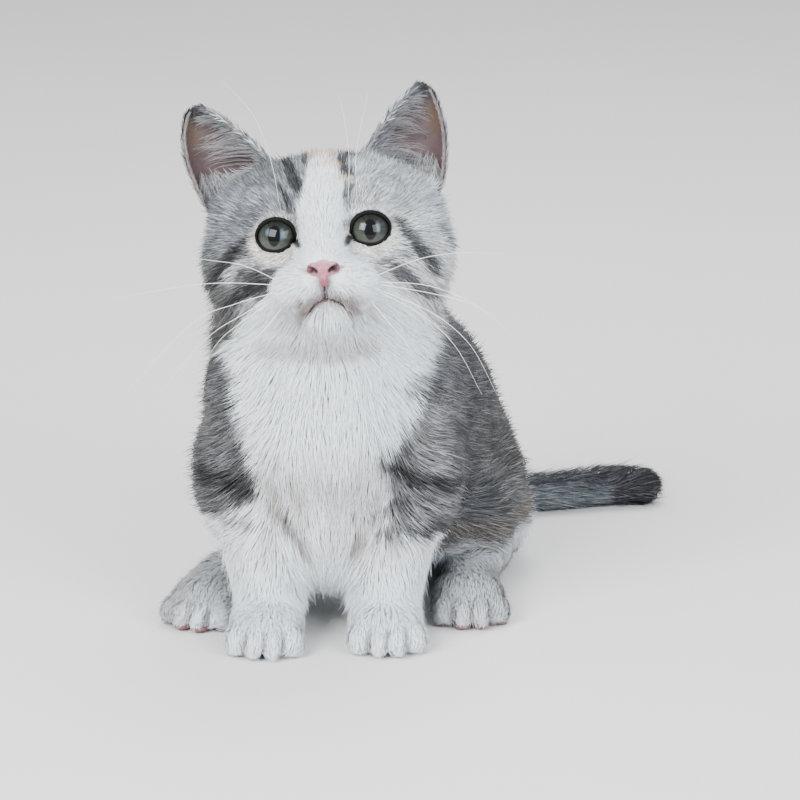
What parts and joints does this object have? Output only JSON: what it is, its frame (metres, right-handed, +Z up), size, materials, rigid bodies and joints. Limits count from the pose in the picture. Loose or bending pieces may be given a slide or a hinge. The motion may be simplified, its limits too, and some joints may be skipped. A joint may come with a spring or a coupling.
{
  "type": "munchkin cat",
  "caption": "Short-legged kitten sitting on its haunches with its face lifted and its tail laid out on the floor, a still model.",
  "frame": {"origin": "on the floor, under the middle of the box round the kitten", "axes": "+Z up, the kitten faces -Y, its left side is +X"},
  "size_m": [0.1902, 0.191, 0.1837],
  "materials": {
    "silver_coat": "soft kitten fur, silver grey ticked with darker bands",
    "white_coat": "soft kitten fur, white",
    "dark_coat": "soft kitten fur, charcoal with paler rings",
    "ear_skin": "thin skin with short fur, pink inside and grey outside",
    "eye": "wet and glossy, dark grey-green iris round a black pupil",
    "nose_skin": "moist pink skin with a fine grain"
  },
  "bodies": {
    "root": {"head": "silver_coat", "muzzle": "white_coat", "lower_jaw": "white_coat", "nose": "nose_skin", "ear_left": "ear_skin", "ear_right": "ear_skin", "eye_left": "eye", "eye_right": "eye", "neck": "silver_coat", "chest": "white_coat", "hindquarters": "silver_coat", "thigh_left": "silver_coat", "thigh_right": "silver_coat", "foreleg_left": "white_coat", "foreleg_right": "white_coat", "forepaw_left": "white_coat", "forepaw_right": "white_coat", "hind_foot_left": "white_coat", "hind_foot_right": "white_coat", "tail_base": "dark_coat", "tail_tip": "dark_coat"}
  },
  "joints": []
}
